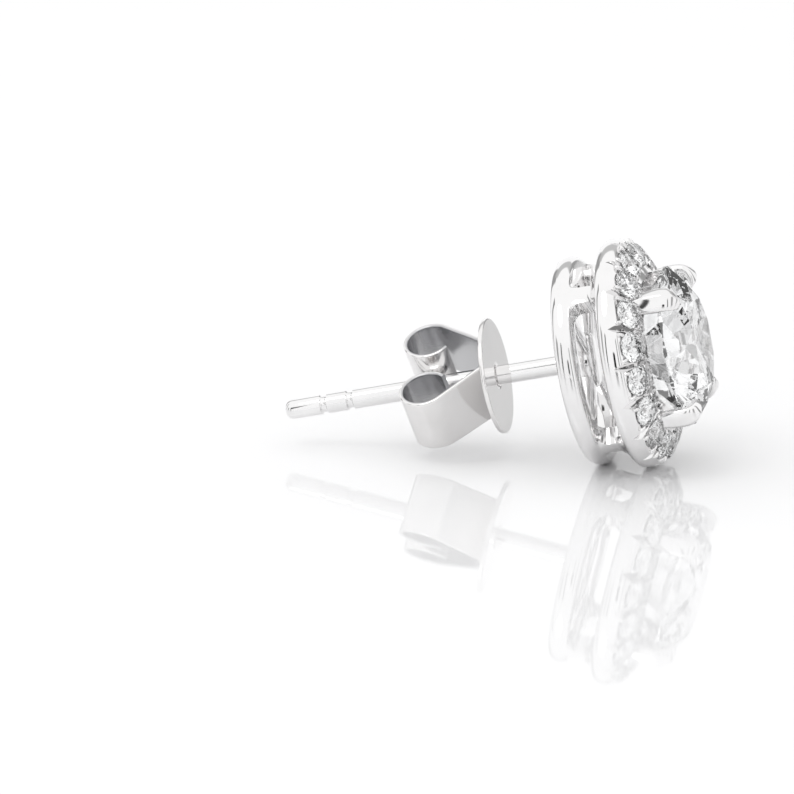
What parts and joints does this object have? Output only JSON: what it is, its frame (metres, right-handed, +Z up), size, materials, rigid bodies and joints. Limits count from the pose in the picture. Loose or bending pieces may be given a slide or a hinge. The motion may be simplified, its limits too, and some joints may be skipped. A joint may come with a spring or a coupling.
{
  "type": "stud earring",
  "caption": "Round halo stud earring of white gold: a claw-set brilliant in a ring of small stones, a straight post and a sliding butterfly back.",
  "frame": {"origin": "middle of the footprint, on the table that the stud lies on", "axes": "+Z up; +X runs along the earring's length towards the stones' side, seen from above; the post's own axis lies in the XZ plane and rises 12.3 degrees towards +X, because the stud lies on the rims of its two rings"},
  "size_m": [0.0178, 0.0094, 0.0092],
  "materials": {
    "white_gold": "rhodium-plated white gold, mirror polished",
    "diamond": "cut and polished colourless diamond",
    "white_gold_back": "white gold strip, polished, a little softer than the setting"
  },
  "bodies": {
    "stud": {"setting": "white_gold", "centre_stone": "diamond", "halo_stone_01": "diamond", "halo_stone_02": "diamond", "halo_stone_03": "diamond", "halo_stone_04": "diamond", "halo_stone_05": "diamond", "halo_stone_06": "diamond", "halo_stone_07": "diamond", "halo_stone_08": "diamond", "halo_stone_09": "diamond", "halo_stone_10": "diamond", "halo_stone_11": "diamond", "halo_stone_12": "diamond", "halo_stone_13": "diamond", "halo_stone_14": "diamond", "halo_stone_15": "diamond", "halo_stone_16": "diamond", "halo_stone_17": "diamond", "halo_stone_18": "diamond"},
    "back": {"butterfly_back": "white_gold_back"}
  },
  "joints": [
    {"name": "back_slide", "type": "slide", "parent": "stud", "child": "back", "axis": [0.9771, 0, 0.2127], "range_m": [-0.0088, 0.0032]}
  ]
}
